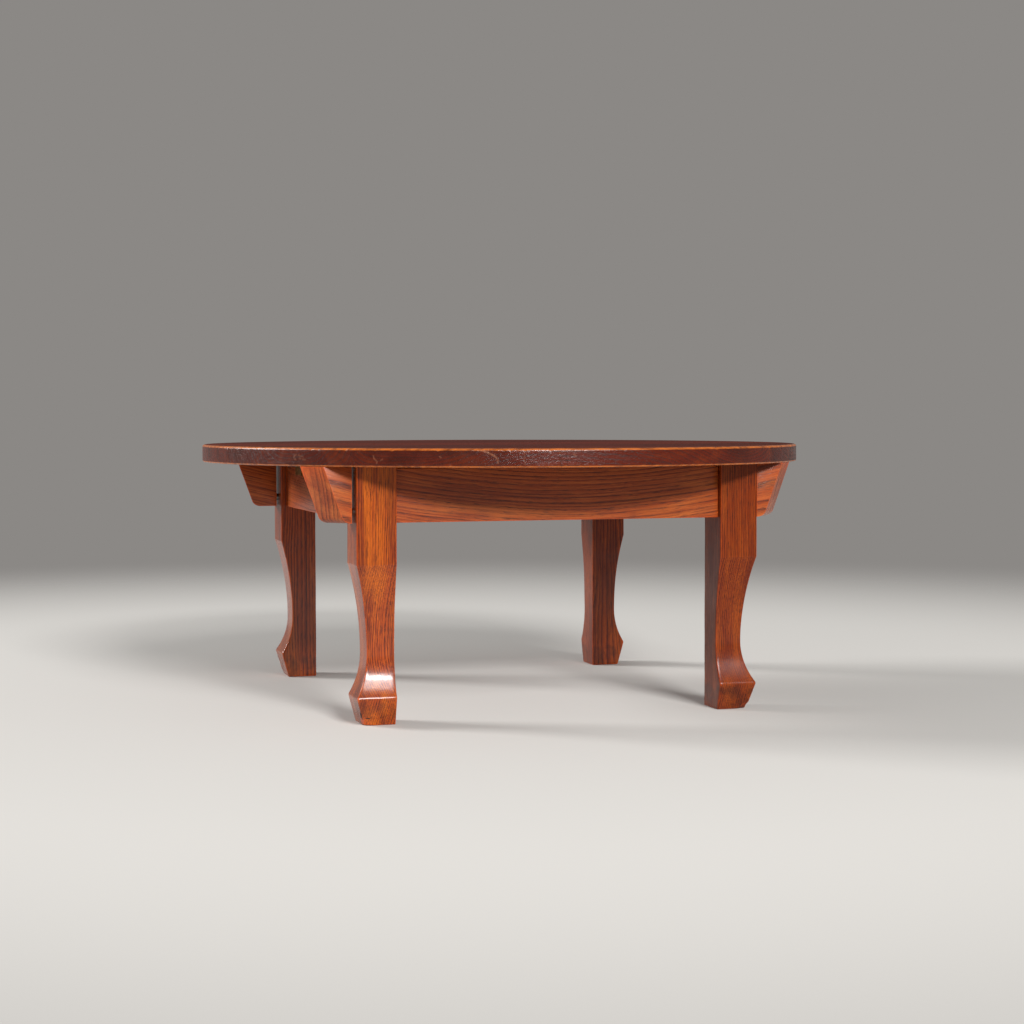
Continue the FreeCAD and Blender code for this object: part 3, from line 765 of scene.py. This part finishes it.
def rimMark(angle, rise, radius):
    # The strongest mark at a spot on the rim, and 0 where there is none.
    s = rimLook
    degrees = math.degrees(angle)
    spot = Vector((degrees * math.pi / 180 * radius, rise))
    strongest = 0.0
    for full, width, points in rimMarks:
        first, last = points[0][0], points[-1][0]
        if not min(first, last) - s["markMargin"] < degrees < max(first, last) + s["markMargin"]:
            continue
        line = [Vector((math.radians(a) * radius, z)) for a, z in points]
        for start, end in zip(line, line[1:]):
            along = end - start
            share = max(0.0, min(1.0, (spot - start).dot(along) / along.length_squared))
            away = (spot - start - along * share).length / width
            if away < s["markReach"]:
                grain = noise.noise(Vector((spot.x / s["markGrain"], spot.y / s["markGrain"], 7.7)))
                broken = max(0.0, min(1.0, 0.75 + 0.9 * grain))
                tone = full * broken * max(0.0, 1 - away / s["markReach"]) ** s["markFade"]
                strongest = tone if abs(tone) > abs(strongest) else strongest
    return strongest


def topDisc():
    # The whole round top before it is parted into boards.
    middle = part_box("top_board_middle")
    radius = middle[1].x / mm
    under, top = middle[0].z / mm, middle[1].z / mm
    made = bmesh.new()
    steps = topSize["rimSteps"]
    marks = made.verts.layers.float.new("mark")
    rings = []
    for distance, z in rimProfile(radius, under, top):
        onRim = distance > radius - rimLook["wornBand"]
        ring = []
        for step in range(steps):
            angle = 2 * math.pi * (step + topSize["firstStep"]) / steps
            worn = rimWear(angle, z, radius, under, top) if onRim else 0.0
            tone = rimMark(angle, z - under, radius) if onRim else 0.0
            d = distance - worn - rimLook["markDepth"] * abs(tone)
            vertex = made.verts.new((d * math.cos(angle) * mm, d * math.sin(angle) * mm, z * mm))
            vertex[marks] = tone
            ring.append(vertex)
        rings.append(ring)
    joinRings(made, rings[::-1])
    made.normal_update()
    return made


def partBoard(made, cut, normal):
    # Keeps what lies on the normal's side of a cut across the top, closes it, and bevels its joint.
    geometry = made.verts[:] + made.edges[:] + made.faces[:]
    result = bmesh.ops.bisect_plane(made, geom=geometry, plane_co=(0, cut, 0), plane_no=normal,
                                    clear_inner=True, clear_outer=False)
    border = [e for e in result["geom_cut"] if isinstance(e, bmesh.types.BMEdge) and len(e.link_faces) == 1]
    filled = bmesh.ops.edgeloop_fill(made, edges=border)
    rim = [e for f in filled["faces"] for e in f.edges]
    bmesh.ops.bevel(made, geom=rim, offset=topSize["jointGroove"] * mm, offset_type="OFFSET", segments=1,
                    affect="EDGES", clamp_overlap=True, material=1)


def makeTop():
    disc = topDisc()
    for i, (name, (down, across, lean, skew, changes)) in enumerate(topBoards.items()):
        made = disc.copy()
        low, high = (end.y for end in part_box("top_board_" + name))
        if i > 0:
            partBoard(made, low, (0, 1, 0))
        if i < len(topBoards) - 1:
            partBoard(made, high, (0, -1, 0))
        bmesh.ops.triangulate(made, faces=[f for f in made.faces if len(f.verts) > 4])
        bmesh.ops.recalc_face_normals(made, faces=made.faces)
        middle = (low + high) / 2 / mm
        material = woodMaterial("topBoard%dZelkova" % i, (0, -(90 + lean), skew), (down, middle + across, 0),
                                topSize["seed"] + i * topSize["seedStep"], {**topWood, **changes})
        piece = finishMesh("round_top_" + name, made, material, "tabletop",
                           "top_board_" + name)
        piece.data.materials.append(packedDirtAndShade)
        # The faces beside a groove stay flat, so that its slope doesn't bend their shading.
        faces = piece.data.polygons
        grooved = {corner for face in faces if face.material_index == 1 for corner in face.vertices}
        for face in faces:
            if face.material_index == 1 or abs(face.normal.z) > 0.999 and grooved.intersection(face.vertices):
                face.use_smooth = False
        print("board", name, len(piece.data.polygons), "faces")
    disc.free()


makeTop()


def makeHinges():
    # Hinges and pivot pins keep the frame's own meshes.
    for name, node in frame["nodes"].items():
        if "pivot_pin" in name or "hinge" in name:
            node.data.materials.clear()
            node.data.materials.append(turnedSteel if "pivot" in name else agedBrass)
    print("hinges and pins")


makeHinges()

# Slotted brass wood screws, two through each hinge leaf.
screwSize = {
    "spread": 26, "inset": 11, "leafThickness": 1.5,
    "headRadius": 2.6, "headHeight": 1.2, "shankRadius": 1.3, "length": 12, "shankLift": 0.1,
    "slotWidth": 0.6, "slotDepth": 0.6, "headSides": 32, "shankSides": 24, "sharpAngle": 35, "seed": 5,
}


def screwTree():
    # Puts a countersunk, slotted screw at every point, with its slot at a random angle.
    s = screwSize
    tree = bpy.data.node_groups.new("placeScrews", "GeometryNodeTree")
    lengths = [("Head Radius", "headRadius"), ("Head Height", "headHeight"), ("Shank Radius", "shankRadius"),
               ("Length", "length"), ("Slot Width", "slotWidth"), ("Slot Depth", "slotDepth")]
    inputs = [("Points", "NodeSocketGeometry", None)]
    inputs += [(name, "NodeSocketFloat", s[key] * mm) for name, key in lengths]
    inputs += [("Seed", "NodeSocketInt", s["seed"]), ("Turn", "NodeSocketVector", None)]
    sockets = {}
    for name, kind, value in inputs:
        socket = tree.interface.new_socket(name, in_out="INPUT", socket_type=kind)
        if value is not None:
            socket.default_value = value
        sockets[name] = socket.identifier
    tree.interface.new_socket("Screws", in_out="OUTPUT", socket_type="NodeSocketGeometry")
    given = addNode(tree, "NodeGroupInput").outputs
    head = addNode(tree, "GeometryNodeMeshCone", {
        "Vertices": s["headSides"], "Radius Top": given["Shank Radius"],
        "Radius Bottom": given["Head Radius"], "Depth": given["Head Height"]})
    shank = addNode(tree, "GeometryNodeMeshCylinder", {
        "Vertices": s["shankSides"], "Radius": given["Shank Radius"], "Depth": given["Length"]})
    half = addNode(tree, "ShaderNodeMath", {0: given["Length"], 1: 0.5}, operation="MULTIPLY")
    raised = addNode(tree, "ShaderNodeMath", {0: half, 1: s["shankLift"] * mm}, operation="ADD")
    lift = addNode(tree, "ShaderNodeCombineXYZ", {"Z": raised})
    shankUp = addNode(tree, "GeometryNodeTransform", {"Geometry": shank, "Translation": lift})
    wide = addNode(tree, "ShaderNodeMath", {0: given["Head Radius"], 1: 3.0}, operation="MULTIPLY")
    deep = addNode(tree, "ShaderNodeMath", {0: given["Slot Depth"], 1: 2.0}, operation="MULTIPLY")
    slotSize = addNode(tree, "ShaderNodeCombineXYZ", {"X": wide, "Y": given["Slot Width"], "Z": deep})
    slot = addNode(tree, "GeometryNodeMeshCube", {"Size": slotSize})
    solid = addNode(tree, "GeometryNodeMeshBoolean", {"Mesh 2": head}, operation="UNION", solver="EXACT")
    setInputs(tree, solid, {"Mesh 2": shankUp})
    screw = addNode(tree, "GeometryNodeMeshBoolean", {
        "Mesh 1": solid, "Mesh 2": slot}, operation="DIFFERENCE", solver="EXACT")
    spin = addNode(tree, "FunctionNodeRandomValue", {
        "Max": math.pi, "Seed": given["Seed"]}, data_type="FLOAT")
    around = addNode(tree, "ShaderNodeCombineXYZ", {"Z": spin.outputs[1]})
    placed = addNode(tree, "GeometryNodeInstanceOnPoints", {
        "Points": given["Points"], "Instance": screw, "Rotation": given["Turn"]})
    spun = addNode(tree, "GeometryNodeRotateInstances", {
        "Instances": placed, "Rotation": around, "Local Space": True})
    real = addNode(tree, "GeometryNodeRealizeInstances", {"Geometry": spun})
    coated = addNode(tree, "GeometryNodeSetMaterial", {"Geometry": real, "Material": agedBrass})
    addNode(tree, "NodeGroupOutput", {0: coated})
    return tree, sockets


def makeScrews():
    s = screwSize
    tree, sockets = screwTree()
    groups = {
        "hinge_top_screws": ([], "tabletop", (0, 0, 0)),
        "left_board_hinge_screws": ([], "left_side_frame", (0, 90, 0)),
        "right_board_hinge_screws": ([], "right_side_frame", (0, -90, 0)),
    }
    for side, sign in (("left", -1), ("right", 1)):
        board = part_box("%s_side_board" % side)
        face = max(abs(board[0].x), abs(board[1].x)) + s["leafThickness"] * mm
        for end in ("front", "rear"):
            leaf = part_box("%s_%s_hinge_top_leaf" % (side, end))
            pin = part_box("%s_%s_hinge_pin" % (side, end))
            axis = (pin[0] + pin[1]) / 2
            for along in (-0.5, 0.5):
                y = axis.y + along * s["spread"] * mm
                groups["hinge_top_screws"][0].append(
                    (axis.x + sign * s["inset"] * mm, y, leaf[1].z - s["leafThickness"] * mm))
                groups[side + "_board_hinge_screws"][0].append((sign * face, y, axis.z - s["inset"] * mm))
    for node, (points, body, turn) in groups.items():
        mesh = bpy.data.meshes.new(node + "_points")
        mesh.from_pydata(points, [], [])
        maker = addObject("screwPoints", mesh)
        modifier = maker.modifiers.new("screws", "NODES")
        modifier.node_group = tree
        modifier[sockets["Turn"]] = [math.radians(a) for a in turn]
        evaluated = maker.evaluated_get(bpy.context.evaluated_depsgraph_get())
        plain = bpy.data.meshes.new_from_object(evaluated)
        bpy.data.objects.remove(maker)
        piece = addObject(node + "_slotted", plain)
        smoothMesh(plain, s["sharpAngle"])
        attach(piece, body)
        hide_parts(node)
        print("screws", node, len(plain.polygons), "faces")


makeScrews()

# The studio: a pale floor that fades into a grey surround, a lamp in front with a higher one beside it, and
# one behind to the left.
studio = {
    "floorRadius": 2.6, "floorSides": 96, "floorDrop": 0.0002, "fadeStart": 0.9, "fadeEnd": 2.5,
    "floorColour": "#d9d6d1", "surround": "#8b8885", "ambient": 0.2,
    "lampAim": (0, 0, 0.2), "lampDistance": 9.0,
}

# Each lamp: azimuth and elevation in degrees, width and height in metres, and power. Azimuth 0 is in front of
# the table, and 90 to its right.
lamps = {
    "frontLamp": (6, 24, 2.4, 0.8, 560),
    "highLamp": (9, 34, 2.6, 2.1, 290),
    "rearLeftLamp": (-120, 23, 3.0, 1.8, 690),
}

# Solved from the photograph: where the camera stood, in metres, how it was turned, in degrees, and its lens.
photoCamera = {"place": (-0.7510, -2.5275, 0.3572), "heading": 16.895, "pitch": 2.752, "roll": -0.07,
               "lens": 71.86, "sensor": 36, "reach": 60}


def makeFloor():
    made = bmesh.new()
    bmesh.ops.create_circle(made, cap_ends=True, segments=studio["floorSides"], radius=studio["floorRadius"])
    floor = addObject("studio_floor", meshOf("studio_floor", made))
    floor.location.z = -studio["floorDrop"]
    material, tree, shader, output = newMaterial("palePaperFloor")
    setInputs(tree, shader, {
        "Base Color": hexColour(studio["floorColour"]), "Roughness": 0.8, "Specular IOR Level": 0.1})
    place = addNode(tree, "ShaderNodeTexCoord").outputs["Object"]
    away = addNode(tree, "ShaderNodeVectorMath", {0: place}, operation="LENGTH").outputs["Value"]
    fade = addNode(tree, "ShaderNodeMapRange", {
        "Value": away, "From Min": studio["fadeStart"], "From Max": studio["fadeEnd"]},
        **smoothly)
    clear = addNode(tree, "ShaderNodeBsdfTransparent")
    mixed = addNode(tree, "ShaderNodeMixShader", {0: fade, 1: shader, 2: clear})
    setInputs(tree, output, {"Surface": mixed})
    floor.data.materials.append(material)


def makeSurround():
    world = bpy.data.worlds.new("paleSurround")
    bpy.context.scene.world = world
    world.use_nodes = True
    tree = world.node_tree
    tree.nodes.clear()
    light = addNode(tree, "ShaderNodeBackground", {"Color": (1, 1, 1, 1), "Strength": studio["ambient"]})
    seen = addNode(tree, "ShaderNodeBackground", {"Color": hexColour(studio["surround"]), "Strength": 1.0})
    path = addNode(tree, "ShaderNodeLightPath")
    direct = addNode(tree, "ShaderNodeMath", {
        0: path.outputs["Is Camera Ray"], 1: path.outputs["Is Glossy Ray"]}, operation="MAXIMUM")
    straight = addNode(tree, "ShaderNodeMath", {
        0: direct, 1: path.outputs["Is Transmission Ray"]}, operation="MAXIMUM")
    mixed = addNode(tree, "ShaderNodeMixShader", {0: straight, 1: light, 2: seen})
    addNode(tree, "ShaderNodeOutputWorld", {"Surface": mixed})


def makeLamps():
    for name, (azimuth, elevation, width, height, power) in lamps.items():
        a, e = math.radians(azimuth), math.radians(elevation)
        back = Vector((math.sin(a) * math.cos(e), -math.cos(a) * math.cos(e), math.sin(e)))
        data = bpy.data.lights.new(name, "AREA")
        data.shape, data.size, data.size_y, data.energy = "RECTANGLE", width, height, power
        lamp = addObject(name, data)
        lamp.location = Vector(studio["lampAim"]) + back * studio["lampDistance"]
        lamp.rotation_euler = back.to_track_quat("Z", "Y").to_euler()
        lamp.visible_camera = False


def makeCamera():
    look = photoCamera
    h, p, r = (math.radians(look[angle]) for angle in ("heading", "pitch", "roll"))
    forward = Vector((math.sin(h) * math.cos(p), math.cos(h) * math.cos(p), -math.sin(p)))
    right = Vector((math.cos(h), -math.sin(h), 0))
    up = right.cross(forward)
    right, up = math.cos(r) * right + math.sin(r) * up, -math.sin(r) * right + math.cos(r) * up
    data = bpy.data.cameras.new("photoCamera")
    data.lens, data.sensor_width, data.sensor_fit = look["lens"], look["sensor"], "HORIZONTAL"
    data.clip_end = look["reach"]
    camera = addObject("photoCamera", data)
    turn = Matrix((right, up, -forward)).transposed()
    camera.matrix_world = Matrix.Translation(Vector(look["place"])) @ turn.to_4x4()
    bpy.context.scene.camera = camera


makeFloor()
makeSurround()
makeLamps()
makeCamera()
print("studio")
